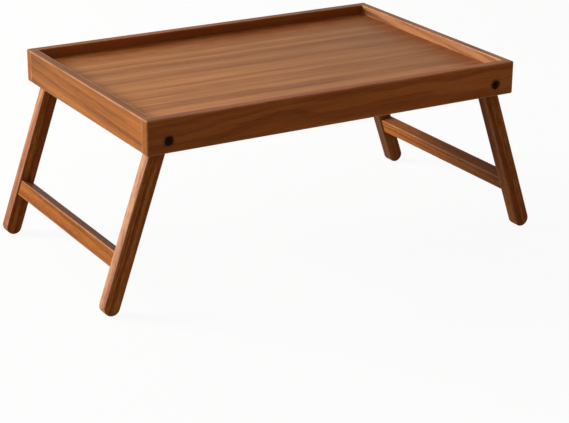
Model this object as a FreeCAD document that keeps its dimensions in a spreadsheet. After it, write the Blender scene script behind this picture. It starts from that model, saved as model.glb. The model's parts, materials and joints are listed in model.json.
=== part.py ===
"""A bed tray table: a rimmed wooden tray on two leg frames that fold flat under it.

X runs along the tray's long side, Y from the front rail to the back rail, Z up.
The origin is on the floor, under the middle of the tray. Lengths are millimetres.
"""

import FreeCAD, Part
import Sketcher
import math
import os
import re
import sys

# Each size that can be set by itself: its name, its value and what it measures.
SIZES = [
    ("tray_length", 500.0, "outside length of the tray, along the long rails"),
    ("tray_depth", 340.0, "outside depth of the tray, front to back"),
    ("rail_height", 41.0, "height of all four rails"),
    ("long_rail_thickness", 12.0, "front and back rails, which run the full length"),
    ("short_rail_thickness", 11.0, "left and right rails, held between the long ones"),
    ("rim_rise", 12.0, "how far the rails stand above the board"),
    ("outer_ease", 2.0, "rounding of the rails' outer edges"),
    ("inner_ease", 0.8, "rounding of the rails' inner top edges"),
    ("board_thickness", 4.0, "board inside the rim"),
    ("tongue_thickness", 2.5, "thin border of the board that lies in the grooves"),
    ("groove_depth", 5.0, "depth of the grooves in the rails"),
    ("groove_gap", 0.2, "height of the grooves beyond the tongue"),
    ("board_end_gap", 0.5, "from the tongue's edge to the bottom of its groove"),
    ("field_gap", 0.3, "from the board's raised field to the rails"),
    ("dowel_radius", 3.0, "hidden corner dowels"),
    ("dowel_gap", 0.05, "radial gap of a dowel in its hole"),
    ("dowel_end_gap", 0.5, "from a dowel's end to the bottom of its hole"),
    ("dowel_in_long", 7.5, "part of a dowel inside a long rail"),
    ("dowel_in_short", 16.0, "part of a dowel inside a short rail"),
    ("leg_width", 20.0, "broad side of a leg"),
    ("leg_thickness", 16.0, "narrow side of a leg"),
    ("leg_reach", 214.5, "from the pivot to the tip of the foot"),
    ("leg_splay", 19.0, "degrees that an open leg leans out from upright"),
    ("leg_ease", 1.5, "rounding of the legs' long edges"),
    ("fold_gap", 0.5, "between the rounded leg head and the board above it"),
    ("stop_gap", 0.1, "between an open leg and the edge that it leans on"),
    ("stretcher_width", 15.5, "stretcher, across the leg"),
    ("stretcher_depth", 19.0, "stretcher, along the leg"),
    ("stretcher_rise", 62.0, "from the tip of the foot to the stretcher's middle"),
    ("stretcher_inset", 2.0, "from the leg's outer side to the stretcher"),
    ("stretcher_ease", 1.2, "rounding of the stretchers' long edges"),
    ("tenon_width", 8.0, "tenon, across the leg"),
    ("tenon_depth", 11.0, "tenon, along the leg"),
    ("tenon_length", 10.0, "tenon, into the leg"),
    ("tenon_gap", 0.1, "between each side of a tenon and its mortise"),
    ("tenon_end_gap", 0.5, "from a tenon's end to the bottom of its mortise"),
    ("bolt_radius", 2.5, "shank of a pivot bolt"),
    ("bolt_gap", 0.05, "radial gap of the shank in rail, spacer and nut"),
    ("pivot_gap", 0.05, "radial running gap of the shank in a leg"),
    ("head_radius", 4.5, "head of a pivot bolt"),
    ("head_depth", 3.0, "depth of the head"),
    ("head_chamfer", 0.5, "bevel around the head"),
    ("head_recess", 0.8, "how far the head lies under the rail's face"),
    ("head_gap", 0.6, "between the head and the wall of its counterbore"),
    ("socket_across", 3.0, "hexagon socket in the head, across its flats"),
    ("socket_depth", 1.8, "depth of the hexagon socket"),
    ("bolt_tip", 1.5, "how far the shank stands out of its nut"),
    ("spacer_thickness", 4.0, "collar between a rail and a leg"),
    ("spacer_radius", 8.0, "outside of the collar"),
    ("side_play", 0.1, "running gap on each side of a leg"),
    ("nut_across", 8.0, "hexagon nut, across its flats"),
    ("nut_height", 4.5, "hexagon nut, along its axis"),
]

VALUE = {name: value for name, value, meaning in SIZES}

# Places that follow from the sizes.
BOARD_UNDERSIDE = "(rail_height - rim_rise - board_thickness)"
GROOVE_HEIGHT = "(tongue_thickness + groove_gap)"
SHORT_RAIL_LENGTH = "(tray_depth - 2 * long_rail_thickness)"
FIELD_LENGTH = "(tray_length - 2 * short_rail_thickness - 2 * field_gap)"
FIELD_DEPTH = "(tray_depth - 2 * long_rail_thickness - 2 * field_gap)"
TONGUE_REACH = "(groove_depth - board_end_gap)"
LOW_DOWEL = BOARD_UNDERSIDE + " / 2"
HIGH_DOWEL = "rail_height - rim_rise / 2"
DOWEL_FROM_MIDDLE = "(tray_length / 2 - short_rail_thickness / 2)"

# The pivot is as high as the board above the folded leg lets it be. The open leg leans
# on the short rail's lower inner edge, and that sets how far the pivot is from the end.
PIVOT_IN_RAIL = "(" + BOARD_UNDERSIDE + " - fold_gap - leg_width / 2)"
PIVOT_HEIGHT = "((leg_reach - leg_width / 2) * cos(leg_splay) + leg_width / 2)"
RAIL_BOTTOM = "(" + PIVOT_HEIGHT + " - " + PIVOT_IN_RAIL + ")"
STOP_OFFSET = "(leg_width / 2 + stop_gap + " + PIVOT_IN_RAIL + " * sin(leg_splay)) / cos(leg_splay)"
PIVOT_FROM_MIDDLE = "(tray_length / 2 - short_rail_thickness - " + STOP_OFFSET + ")"
LEG_FROM_MIDDLE = "(tray_depth / 2 - long_rail_thickness - spacer_thickness - side_play)"

STRETCHER_LENGTH = "(2 * (" + LEG_FROM_MIDDLE + " - leg_thickness))"
STRETCHER_ACROSS = "(leg_width / 2 - stretcher_inset - stretcher_width / 2)"
STRETCHER_ALONG = "(leg_reach - stretcher_rise)"

HEAD_SEAT = "(head_recess + head_depth)"
NUT_SEAT = "(long_rail_thickness + spacer_thickness + leg_thickness + 2 * side_play)"

FRONT, BACK = -1, 1
LEFT, RIGHT = -1, 1
ENDS = [(FRONT, "front"), (BACK, "back")]
SIDES = [(LEFT, "left"), (RIGHT, "right")]
UPRIGHT = FreeCAD.Vector(0, 0, 1)

doc = FreeCAD.newDocument("BedTrayTable")


def make_sheet():
    """The named sizes that drive every piece."""
    sheet = doc.addObject("Spreadsheet::Sheet", "Sizes")
    for row, (name, value, meaning) in enumerate(SIZES, start=1):
        sheet.set("A%d" % row, meaning)
        sheet.set("B%d" % row, "%g" % value)
        sheet.setAlias("B%d" % row, name)
    doc.recompute()


def bind(thing, prop, text):
    """Tie a property to an expression of named sizes."""
    thing.setExpression(prop, re.sub(r"[a-z]+(?:_[a-z]+)+", r"Sizes.\g<0>", text))


def new_body(name):
    """An empty piece."""
    body = doc.addObject("PartDesign::Body", name)
    body.Label = name
    return body


def place(piece, x="0", y="0", z="0", axis=UPRIGHT, angle="0"):
    """Put a piece where the expressions say, turned about an axis."""
    start = 1.0 if angle == "0" else 180.0
    piece.Placement = FreeCAD.Placement(FreeCAD.Vector(), FreeCAD.Rotation(axis, start))
    bind(piece, ".Placement.Base.x", x)
    bind(piece, ".Placement.Base.y", y)
    bind(piece, ".Placement.Base.z", z)
    bind(piece, ".Placement.Rotation.Angle", "1 deg * (" + angle + ")")


def origin_plane(body, role):
    """One of a body's own origin planes."""
    return [item for item in body.Origin.OriginFeatures if item.Role == role][0]


def new_sketch(body, name, role, across="0", up="0", out="0"):
    """A sketch on an origin plane, moved in the plane and out along its normal.

    On the XZ plane the normal points to the front, on the YZ plane to the right.
    """
    sketch = body.newObject("Sketcher::SketchObject", name)
    sketch.AttachmentSupport = [(origin_plane(body, role), "")]
    sketch.MapMode = "FlatFace"
    bind(sketch, "AttachmentOffset.Base.x", across)
    bind(sketch, "AttachmentOffset.Base.y", up)
    bind(sketch, "AttachmentOffset.Base.z", out)
    return sketch


def driven(sketch, constraint, name, text):
    """Add a constraint whose value is an expression of named sizes."""
    index = sketch.addConstraint(constraint)
    sketch.renameConstraint(index, name)
    bind(sketch, "Constraints." + name, text)


def draw_rectangle(sketch, width, height):
    """A rectangle about the sketch's origin."""
    half_w, half_h = 10.0, 5.0
    corners = [
        FreeCAD.Vector(-half_w, -half_h, 0),
        FreeCAD.Vector(half_w, -half_h, 0),
        FreeCAD.Vector(half_w, half_h, 0),
        FreeCAD.Vector(-half_w, half_h, 0),
    ]
    for start, end in zip(corners, corners[1:] + corners[:1]):
        sketch.addGeometry(Part.LineSegment(start, end), False)
    for side in range(4):
        sketch.addConstraint(Sketcher.Constraint("Coincident", side, 2, (side + 1) % 4, 1))
    for side in (0, 2):
        sketch.addConstraint(Sketcher.Constraint("Horizontal", side))
    for side in (1, 3):
        sketch.addConstraint(Sketcher.Constraint("Vertical", side))
    sketch.addConstraint(Sketcher.Constraint("Symmetric", 0, 1, 2, 1, -1, 1))
    driven(sketch, Sketcher.Constraint("DistanceX", 0, 1, 0, 2, 2 * half_w), "width", width)
    driven(sketch, Sketcher.Constraint("DistanceY", 1, 1, 1, 2, 2 * half_h), "height", height)


def draw_circle(sketch, radius):
    """A circle about the sketch's origin."""
    circle = Part.Circle(FreeCAD.Vector(), UPRIGHT, 5.0)
    sketch.addGeometry(circle, False)
    sketch.addConstraint(Sketcher.Constraint("Coincident", 0, 3, -1, 1))
    driven(sketch, Sketcher.Constraint("Radius", 0, 5.0), "radius", radius)


def draw_hexagon(sketch, across_flats):
    """A hexagon about the sketch's origin, with two upright flats."""
    rim = 5.0
    corners = []
    for step in range(6):
        turn = math.radians(30 + 60 * step)
        corners.append(FreeCAD.Vector(rim * math.cos(turn), rim * math.sin(turn), 0))
    for start, end in zip(corners, corners[1:] + corners[:1]):
        sketch.addGeometry(Part.LineSegment(start, end), False)
    guide = sketch.addGeometry(Part.Circle(FreeCAD.Vector(), UPRIGHT, rim), True)
    sketch.addConstraint(Sketcher.Constraint("Coincident", guide, 3, -1, 1))
    for side in range(6):
        sketch.addConstraint(Sketcher.Constraint("Coincident", side, 2, (side + 1) % 6, 1))
        sketch.addConstraint(Sketcher.Constraint("PointOnObject", side, 1, guide))
    for side in range(1, 6):
        sketch.addConstraint(Sketcher.Constraint("Equal", 0, side))
    sketch.addConstraint(Sketcher.Constraint("Vertical", 5))
    corner = across_flats + " / (2 * cos(30))"
    driven(sketch, Sketcher.Constraint("Radius", guide, rim), "corner", corner)


def draw_leg_outline(sketch, width, reach):
    """A bar with two half-round ends, the upper one about the sketch's origin."""
    r, drop = 10.0, 100.0
    foot = FreeCAD.Vector(0, -drop, 0)
    head_arc = Part.ArcOfCircle(Part.Circle(FreeCAD.Vector(), UPRIGHT, r), 0, math.pi)
    foot_arc = Part.ArcOfCircle(Part.Circle(foot, UPRIGHT, r), math.pi, 2 * math.pi)
    near_side = Part.LineSegment(FreeCAD.Vector(-r, 0, 0), FreeCAD.Vector(-r, -drop, 0))
    far_side = Part.LineSegment(FreeCAD.Vector(r, -drop, 0), FreeCAD.Vector(r, 0, 0))
    for piece in (head_arc, near_side, foot_arc, far_side):
        sketch.addGeometry(piece, False)
    for side in range(4):
        sketch.addConstraint(Sketcher.Constraint("Tangent", side, 2, (side + 1) % 4, 1))
    sketch.addConstraint(Sketcher.Constraint("Coincident", 0, 3, -1, 1))
    sketch.addConstraint(Sketcher.Constraint("Vertical", 1))
    sketch.addConstraint(Sketcher.Constraint("Equal", 0, 2))
    driven(sketch, Sketcher.Constraint("Radius", 0, r), "end", width + " / 2")
    centres = reach + " - " + width + " / 2"
    driven(sketch, Sketcher.Constraint("DistanceY", 2, 3, 0, 3, drop), "between", centres)


def add_pad(body, sketch, name, length, reverse=False, both_ways=False):
    """Grow a sketch into solid wood or metal."""
    pad = body.newObject("PartDesign::Pad", name)
    pad.Profile = sketch
    bind(pad, "Length", length)
    pad.Reversed = reverse
    if both_ways:
        pad.SideType = "Symmetric"
    doc.recompute()
    return pad


def add_pocket(body, sketch, name, depth, reverse=False):
    """Cut a sketch into the piece, and make sure that something was cut."""
    before = body.Shape.Volume
    pocket = body.newObject("PartDesign::Pocket", name)
    pocket.Profile = sketch
    pocket.Type = 0
    bind(pocket, "Length", depth)
    pocket.Reversed = reverse
    doc.recompute()
    if not pocket.Shape.Volume < before:
        sys.exit(body.Label + ": " + name + " cuts nothing")
    return pocket


def add_mirror(body, features, name, role):
    """Repeat features on the other side of an origin plane."""
    mirror = body.newObject("PartDesign::Mirrored", name)
    mirror.Originals = features
    mirror.MirrorPlane = (origin_plane(body, role), [""])
    body.Tip = mirror
    doc.recompute()
    return mirror


def round_edges(body, base, name, radius, wanted):
    """Round the edges of a feature that the test picks by middle and direction."""
    names = []
    for number, edge in enumerate(base.Shape.Edges, start=1):
        first, last = edge.Vertexes[0].Point, edge.Vertexes[-1].Point
        if wanted((first + last) * 0.5, (last - first)):
            names.append("Edge%d" % number)
    fillet = body.newObject("PartDesign::Fillet", name)
    fillet.Base = (base, names)
    bind(fillet, "Radius", radius)
    doc.recompute()
    return fillet


def along(direction, axis):
    """Whether a direction runs along X (0), Y (1) or Z (2) and along no other."""
    other = [abs(direction[n]) for n in range(3) if n != axis]
    return abs(direction[axis]) > 1e-6 and max(other) < 1e-6


def make_long_rail(name, end):
    """A front or back rail: outer face at y = 0, grooved and bored, with rounded ends."""
    thickness = VALUE["long_rail_thickness"]
    body = new_body(name)
    blank = new_sketch(body, name + "_blank", "XY_Plane", up="long_rail_thickness / 2")
    draw_rectangle(blank, "tray_length", "long_rail_thickness")
    bar = add_pad(body, blank, name + "_bar", "rail_height")

    # Every outer edge is rounded. The ends' inner upright edges stay sharp, against
    # the short rails, and so does the upper inner edge until its own lighter rounding.
    def outer(middle, direction):
        inside = abs(middle.y - thickness) < 1e-6
        return not inside or (along(direction, 0) and middle.z < 1e-6)

    def inner_top(middle, direction):
        return along(direction, 0) and middle.z > 1e-6 and abs(middle.y - thickness) < 1e-6

    rounded = round_edges(body, bar, name + "_outer_edges", "outer_ease", outer)
    round_edges(body, rounded, name + "_inner_edge", "inner_ease", inner_top)

    # The groove stops behind the short rails, so the ends show none of it.
    groove_middle = BOARD_UNDERSIDE + " + " + GROOVE_HEIGHT + " / 2"
    inner_face = "-long_rail_thickness"
    groove = new_sketch(body, name + "_groove_line", "XZ_Plane", up=groove_middle, out=inner_face)
    groove_length = "tray_length - 2 * short_rail_thickness + 2 * groove_depth"
    draw_rectangle(groove, groove_length, GROOVE_HEIGHT)
    add_pocket(body, groove, name + "_groove", "groove_depth", reverse=True)

    bore = new_sketch(body, name + "_bore_line", "XZ_Plane", PIVOT_FROM_MIDDLE, PIVOT_IN_RAIL)
    draw_circle(bore, "bolt_radius + bolt_gap")
    cuts = [add_pocket(body, bore, name + "_bore", "long_rail_thickness")]
    sunk = new_sketch(body, name + "_sunk_line", "XZ_Plane", PIVOT_FROM_MIDDLE, PIVOT_IN_RAIL)
    draw_circle(sunk, "head_radius + head_gap")
    cuts.append(add_pocket(body, sunk, name + "_counterbore", HEAD_SEAT))
    for level, height in (("low", LOW_DOWEL), ("high", HIGH_DOWEL)):
        label = name + "_" + level + "_dowel"
        hole = new_sketch(body, label + "_line", "XZ_Plane", DOWEL_FROM_MIDDLE, height, inner_face)
        draw_circle(hole, "dowel_radius + dowel_gap")
        depth = "dowel_in_long + dowel_end_gap"
        cuts.append(add_pocket(body, hole, label + "_hole", depth, reverse=True))
    add_mirror(body, cuts, name + "_other_end", "YZ_Plane")
    turn = "0" if end == FRONT else "180"
    place(body, y="%d * tray_depth / 2" % end, z=RAIL_BOTTOM, angle=turn)
    return body


def make_short_rail(name, side):
    """A left or right rail: outer face at x = 0, grooved, with dowel holes in its ends."""
    thickness = VALUE["short_rail_thickness"]
    body = new_body(name)
    blank = new_sketch(body, name + "_blank", "XY_Plane", across="short_rail_thickness / 2")
    draw_rectangle(blank, "short_rail_thickness", SHORT_RAIL_LENGTH)
    bar = add_pad(body, blank, name + "_bar", "rail_height")

    # The lower inner edge stays sharp: it is what the open legs lean on.
    def outer(middle, direction):
        return along(direction, 1) and abs(middle.x) < 1e-6

    def inner_top(middle, direction):
        return along(direction, 1) and middle.z > 1e-6 and abs(middle.x - thickness) < 1e-6

    rounded = round_edges(body, bar, name + "_outer_edges", "outer_ease", outer)
    round_edges(body, rounded, name + "_inner_edge", "inner_ease", inner_top)

    groove_middle = BOARD_UNDERSIDE + " + " + GROOVE_HEIGHT + " / 2"
    inner_face = "short_rail_thickness"
    groove = new_sketch(body, name + "_groove_line", "YZ_Plane", up=groove_middle, out=inner_face)
    draw_rectangle(groove, SHORT_RAIL_LENGTH, GROOVE_HEIGHT)
    add_pocket(body, groove, name + "_groove", "groove_depth")

    cuts = []
    for level, height in (("low", LOW_DOWEL), ("high", HIGH_DOWEL)):
        label = name + "_" + level + "_dowel"
        middle, end_face = "short_rail_thickness / 2", SHORT_RAIL_LENGTH + " / 2"
        hole = new_sketch(body, label + "_line", "XZ_Plane", middle, height, end_face)
        draw_circle(hole, "dowel_radius + dowel_gap")
        cuts.append(add_pocket(body, hole, label + "_hole", "dowel_in_short + dowel_end_gap"))
    add_mirror(body, cuts, name + "_other_end", "XZ_Plane")
    turn = "0" if side == LEFT else "180"
    place(body, x="%d * tray_length / 2" % side, z=RAIL_BOTTOM, angle=turn)
    return body


def make_board():
    """The board: a raised field inside the rim and a thin tongue in the rails' grooves."""
    body = new_body("tray_board")
    border = new_sketch(body, "board_border", "XY_Plane")
    tongue_length = "tray_length - 2 * short_rail_thickness + 2 * " + TONGUE_REACH
    tongue_width = "tray_depth - 2 * long_rail_thickness + 2 * " + TONGUE_REACH
    draw_rectangle(border, tongue_length, tongue_width)
    add_pad(body, border, "board_tongue", "tongue_thickness")
    field = new_sketch(body, "board_field_line", "XY_Plane")
    draw_rectangle(field, FIELD_LENGTH, FIELD_DEPTH)
    add_pad(body, field, "board_field", "board_thickness")
    place(body, z=RAIL_BOTTOM + " + " + BOARD_UNDERSIDE)
    return body


def make_dowels(name, side, end):
    """The two hidden dowels of one corner, across the joint between the rails."""
    pieces = []
    for level, height in (("low", LOW_DOWEL), ("high", HIGH_DOWEL)):
        pin = doc.addObject("Part::Cylinder", name + "_" + level)
        bind(pin, "Radius", "dowel_radius")
        bind(pin, "Height", "dowel_in_long + dowel_in_short")
        turn = FreeCAD.Rotation(FreeCAD.Vector(1, 0, 0), 90 * end)
        pin.Placement = FreeCAD.Placement(FreeCAD.Vector(), turn)
        bind(pin, ".Placement.Base.x", "%d * %s" % (side, DOWEL_FROM_MIDDLE))
        start = "(tray_depth / 2 - long_rail_thickness + dowel_in_long)"
        bind(pin, ".Placement.Base.y", "%d * %s" % (end, start))
        bind(pin, ".Placement.Base.z", RAIL_BOTTOM + " + " + height)
        pieces.append(pin)
    group = doc.addObject("Part::Compound", name)
    group.Label = name
    group.Links = pieces
    doc.recompute()
    return group


def make_leg(name, side, end):
    """A leg about its pivot: y = 0 is the face next to the long rail."""
    body = new_body(name)
    outline = new_sketch(body, name + "_outline", "XZ_Plane")
    draw_leg_outline(outline, "leg_width", "leg_reach")
    bar = add_pad(body, outline, name + "_bar", "leg_thickness", reverse=(end == FRONT))

    def long_edge(middle, direction):
        return not along(direction, 1)

    round_edges(body, bar, name + "_edges", "leg_ease", long_edge)
    bore = new_sketch(body, name + "_bore_line", "XZ_Plane")
    draw_circle(bore, "bolt_radius + pivot_gap")
    add_pocket(body, bore, name + "_bore", "leg_thickness", reverse=(end == BACK))

    # The blind mortise for the stretcher opens on the face towards the other leg.
    across, along_leg = "%d * %s" % (side, STRETCHER_ACROSS), "-" + STRETCHER_ALONG
    face = "%d * leg_thickness" % end
    mortise = new_sketch(body, name + "_mortise_line", "XZ_Plane", across, along_leg, face)
    draw_rectangle(mortise, "tenon_width + 2 * tenon_gap", "tenon_depth + 2 * tenon_gap")
    depth = "tenon_length + tenon_end_gap"
    add_pocket(body, mortise, name + "_mortise", depth, reverse=(end == FRONT))
    x, y = "%d * %s" % (side, PIVOT_FROM_MIDDLE), "%d * %s" % (end, LEG_FROM_MIDDLE)
    place(body, x, y, PIVOT_HEIGHT, FreeCAD.Vector(0, -side, 0), "leg_splay")
    return body


def make_stretcher(name, side):
    """The bar between the two legs of a frame, with a tenon on each end."""
    body = new_body(name)
    across = "%d * %s" % (side, STRETCHER_ACROSS)
    section = new_sketch(body, name + "_section", "XZ_Plane", across, "-" + STRETCHER_ALONG)
    draw_rectangle(section, "stretcher_width", "stretcher_depth")
    bar = add_pad(body, section, name + "_bar", STRETCHER_LENGTH, both_ways=True)

    def long_edge(middle, direction):
        return along(direction, 1)

    round_edges(body, bar, name + "_edges", "stretcher_ease", long_edge)
    core = new_sketch(body, name + "_tenon_section", "XZ_Plane", across, "-" + STRETCHER_ALONG)
    draw_rectangle(core, "tenon_width", "tenon_depth")
    add_pad(body, core, name + "_tenons", STRETCHER_LENGTH + " + 2 * tenon_length", both_ways=True)
    x = "%d * %s" % (side, PIVOT_FROM_MIDDLE)
    place(body, x, "0", PIVOT_HEIGHT, FreeCAD.Vector(0, -side, 0), "leg_splay")
    return body


def put_on_pivot(body, side, end):
    """Put a piece modelled from the long rail's outer face, inwards along +Y, at a pivot."""
    x = "%d * %s" % (side, PIVOT_FROM_MIDDLE)
    turn = "0" if end == FRONT else "180"
    place(body, x, "%d * tray_depth / 2" % end, PIVOT_HEIGHT, angle=turn)


def make_bolt(name, side, end):
    """A pivot bolt: a sunk head with a hexagon socket, and a plain shank."""
    body = new_body(name)
    head_line = new_sketch(body, name + "_head_line", "XZ_Plane", out="-" + HEAD_SEAT)
    draw_circle(head_line, "head_radius")
    head = add_pad(body, head_line, name + "_head", "head_depth")
    bevel = body.newObject("PartDesign::Chamfer", name + "_bevel")
    outer_faces = [
        "Edge%d" % number
        for number, edge in enumerate(head.Shape.Edges, start=1)
        if edge.Closed and edge.BoundBox.YMax < VALUE["head_recess"] + 1e-3
    ]
    bevel.Base = (head, outer_faces)
    bind(bevel, "Size", "head_chamfer")
    doc.recompute()
    shank_line = new_sketch(body, name + "_shank_line", "XZ_Plane", out="-" + HEAD_SEAT)
    draw_circle(shank_line, "bolt_radius")
    shank_length = NUT_SEAT + " + nut_height + bolt_tip - " + HEAD_SEAT
    add_pad(body, shank_line, name + "_shank", shank_length, reverse=True)
    socket = new_sketch(body, name + "_socket_line", "XZ_Plane", out="-head_recess")
    draw_hexagon(socket, "socket_across")
    add_pocket(body, socket, name + "_socket", "socket_depth")
    put_on_pivot(body, side, end)
    return body


def make_spacer(name, side, end):
    """The collar on the bolt that keeps a leg clear of the long rail."""
    body = new_body(name)
    outline = new_sketch(body, name + "_outline", "XZ_Plane", out="-long_rail_thickness")
    draw_circle(outline, "spacer_radius")
    add_pad(body, outline, name + "_disc", "spacer_thickness", reverse=True)
    bore = new_sketch(body, name + "_bore_line", "XZ_Plane", out="-long_rail_thickness")
    draw_circle(bore, "bolt_radius + bolt_gap")
    add_pocket(body, bore, name + "_bore", "spacer_thickness")
    put_on_pivot(body, side, end)
    return body


def make_nut(name, side, end):
    """The hexagon nut on the bolt's end, inside the leg."""
    body = new_body(name)
    outline = new_sketch(body, name + "_outline", "XZ_Plane", out="-" + NUT_SEAT)
    draw_hexagon(outline, "nut_across")
    add_pad(body, outline, name + "_block", "nut_height", reverse=True)
    bore = new_sketch(body, name + "_bore_line", "XZ_Plane", out="-" + NUT_SEAT)
    draw_circle(bore, "bolt_radius + bolt_gap")
    add_pocket(body, bore, name + "_bore", "nut_height")
    put_on_pivot(body, side, end)
    return body


def make_everything():
    """All the pieces, tray first."""
    pieces = [make_board()]
    for end, end_name in ENDS:
        pieces.append(make_long_rail(end_name + "_rail", end))
    for side, side_name in SIDES:
        pieces.append(make_short_rail(side_name + "_rail", side))
        pieces.append(make_stretcher(side_name + "_stretcher", side))
    for end, end_name in ENDS:
        for side, side_name in SIDES:
            corner = end_name + "_" + side_name
            pieces.append(make_dowels(corner + "_dowels", side, end))
            pieces.append(make_leg(corner + "_leg", side, end))
            pieces.append(make_bolt(corner + "_bolt", side, end))
            pieces.append(make_spacer(corner + "_spacer", side, end))
            pieces.append(make_nut(corner + "_nut", side, end))
    return pieces


def check(pieces):
    """Stop if any object failed, or if a piece is empty or broken."""
    for item in doc.Objects:
        if "Invalid" in item.State or "Error" in item.State:
            sys.exit(item.Label + " failed: " + ", ".join(item.State))
    for piece in pieces:
        if piece.Shape.isNull() or not piece.Shape.isValid() or not piece.Shape.Solids:
            sys.exit(piece.Label + " has no sound solid")


def write(pieces):
    """One file for each piece, and a line with its size."""
    os.makedirs("parts", exist_ok=True)
    for piece in pieces:
        piece.Shape.exportStep("parts/" + piece.Label + ".step")
        shape, box = piece.Shape, piece.Shape.BoundBox
        amounts = (piece.Label, len(shape.Solids), shape.Volume)
        lengths = (box.XLength, box.YLength, box.ZLength)
        print("%-22s %d solid(s) %9.0f mm3  %6.1f x %6.1f x %6.1f mm" % (amounts + lengths))


make_sheet()
made = make_everything()
doc.recompute()
check(made)
write(made)
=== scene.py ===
# %% [markdown]
# # A folding bed tray in oiled brown wood
# The object is a rimmed tray on two leg frames that fold flat under it. Every part of it
# that carries load is already modelled to size. This lesson dresses those parts: it grows
# a wood for each piece, blackens the bolts, cuts the threads, and sets a camera and a
# plain studio. The first step loads the parts, which stay exactly where they are.

# %% Load the parts
import json
import math

import bmesh
import bpy
from mathutils import Euler, Matrix, Vector

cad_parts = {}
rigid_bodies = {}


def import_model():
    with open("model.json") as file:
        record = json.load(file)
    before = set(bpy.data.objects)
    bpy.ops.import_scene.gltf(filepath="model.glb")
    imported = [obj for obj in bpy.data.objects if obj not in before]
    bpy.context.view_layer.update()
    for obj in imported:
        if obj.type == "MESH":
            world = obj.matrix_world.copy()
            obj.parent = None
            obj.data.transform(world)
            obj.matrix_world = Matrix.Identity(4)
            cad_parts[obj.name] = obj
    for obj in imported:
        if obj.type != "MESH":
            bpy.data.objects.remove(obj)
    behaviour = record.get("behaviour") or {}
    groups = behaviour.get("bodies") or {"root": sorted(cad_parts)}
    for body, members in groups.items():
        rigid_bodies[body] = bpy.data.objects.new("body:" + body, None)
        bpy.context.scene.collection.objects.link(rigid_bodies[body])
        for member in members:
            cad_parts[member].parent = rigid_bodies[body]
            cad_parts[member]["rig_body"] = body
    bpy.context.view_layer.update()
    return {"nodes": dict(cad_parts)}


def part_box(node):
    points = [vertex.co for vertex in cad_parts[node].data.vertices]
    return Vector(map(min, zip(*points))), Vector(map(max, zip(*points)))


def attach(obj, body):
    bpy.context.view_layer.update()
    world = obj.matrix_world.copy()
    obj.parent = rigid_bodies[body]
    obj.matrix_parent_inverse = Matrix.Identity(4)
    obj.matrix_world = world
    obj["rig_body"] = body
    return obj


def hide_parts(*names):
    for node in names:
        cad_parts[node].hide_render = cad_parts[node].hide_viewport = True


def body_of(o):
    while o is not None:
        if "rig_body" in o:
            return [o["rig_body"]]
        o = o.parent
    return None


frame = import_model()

parts = frame["nodes"]
print("parts:", len(parts))

# %% [markdown]
# ## A frame for each piece of wood
# A plank shows long streaks on its faces and dots on its ends, because all its fibres
# run one way. So a wood texture needs to know which way each piece was cut. Generated
# coordinates could tell it, but they stretch with the size of the piece. So every piece
# gets a small coordinate frame of its own, in metres: x along its fibres, and zero at its
# middle. A Mapping node of the type "Texture" turns the model's coordinates into it.

# %% Measure a piece along its own fibres
SPLAY = math.radians(19)          # how far an open leg leans out
RIGHT_ANGLE = math.radians(90)
ALONG_X = Euler((0, 0, 0))
ALONG_Y = Euler((0, 0, RIGHT_ANGLE))
LEFT, RIGHT = -1, 1


def along_leg(side):
    """The turn that lays x down a leg of the left or the right frame."""
    return Euler((0, RIGHT_ANGLE - side * SPLAY, 0))


def along_bar(side):
    """The turn that lays x along a stretcher and leans z with its legs."""
    return Euler((-side * SPLAY, 0, RIGHT_ANGLE))


def measure(name, turn):
    """The middle of a piece in the model, and half its size along its own axes."""
    back = turn.to_matrix().inverted()
    points = [back @ corner.co for corner in parts[name].data.vertices]
    low = Vector([min(point[axis] for point in points) for axis in range(3)])
    high = Vector([max(point[axis] for point in points) for axis in range(3)])
    return turn.to_matrix() @ ((low + high) / 2), (high - low) / 2


# %% [markdown]
# ## Helpers for node trees
# Shader nodes are easier to read as short calls. `add` places a node and fills its
# sockets by name, `calc` does one sum, and `new_group` starts a group with named
# sockets. A value that is itself a socket is linked; anything else is typed in.

# %% Nodes and sums
def feed(tree, socket, value):
    """Link a socket to another one, or set its value."""
    if isinstance(value, bpy.types.NodeSocket):
        tree.links.new(value, socket)
    else:
        socket.default_value = value


def add(tree, kind, settings=(), **inputs):
    """Add one shader node. An underscore in an input's name stands for a space."""
    node = tree.nodes.new("ShaderNode" + kind)
    for name, value in dict(settings).items():
        setattr(node, name, value)
    for name, value in inputs.items():
        feed(tree, node.inputs[name.replace("_", " ")], value)
    return node


def operate(tree, kind, operation, values):
    """One node that does a sum, with its inputs filled in order."""
    node = add(tree, kind, {"operation": operation})
    for socket, value in zip(node.inputs, values):
        feed(tree, socket, value)
    return node.outputs


def calc(tree, operation, *values):
    """One Math node: its result."""
    return operate(tree, "Math", operation, values)[0]


def vector_calc(tree, operation, *values):
    """One Vector Math node: its result, a number for a length and a vector otherwise."""
    result = "Value" if operation in ("LENGTH", "DOT_PRODUCT") else "Vector"
    return operate(tree, "VectorMath", operation, values)[result]


print("helpers:", [helper.__name__ for helper in (feed, add, calc, vector_calc)])

# %% Colours, ranges and groups
FIRST_COLOUR, SECOND_COLOUR, MIXED_COLOUR = 6, 7, 2     # a Mix node's sockets for colours


def blend_colours(tree, share, first, second, way="MIX"):
    """One colour Mix node: its result."""
    node = add(tree, "Mix", {"data_type": "RGBA", "blend_type": way}, Factor=share)
    feed(tree, node.inputs[FIRST_COLOUR], first)
    feed(tree, node.inputs[SECOND_COLOUR], second)
    return node.outputs[MIXED_COLOUR]


def ramp(tree, value, low, high, start=0.0, end=1.0):
    """Stretch a value from one range to another, smoothly and without leaving it."""
    node = add(
        tree, "MapRange", {"interpolation_type": "SMOOTHSTEP"},
        Value=value, From_Min=low, From_Max=high, To_Min=start, To_Max=end,
    )
    return node.outputs["Result"]


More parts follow.
